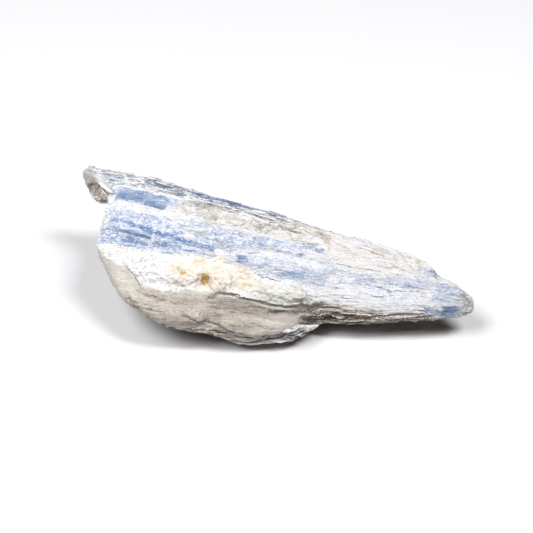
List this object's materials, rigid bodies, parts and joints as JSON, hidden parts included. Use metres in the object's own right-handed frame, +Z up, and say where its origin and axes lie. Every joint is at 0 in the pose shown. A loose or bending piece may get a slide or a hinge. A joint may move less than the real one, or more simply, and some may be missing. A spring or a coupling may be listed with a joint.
{
  "type": "kyanite blade cluster",
  "caption": "Long, tapering hand specimen of bladed blue crystals in white quartz and mica, which lies on a flat cleavage face.",
  "frame": {"origin": "middle of the bounding box in plan, on the flat cleavage face that the specimen rests on", "axes": "+X along the grain of the blades, from the thick broken end to the thin tip; +Z up; the sloping top faces -Y and up"},
  "size_m": [0.1282, 0.0474, 0.0316],
  "materials": {
    "stone": "broken crystal faces, satin to pearly, pale blue and white"
  },
  "bodies": {
    "root": {"kyanite_blade_cluster": "stone"}
  },
  "joints": []
}
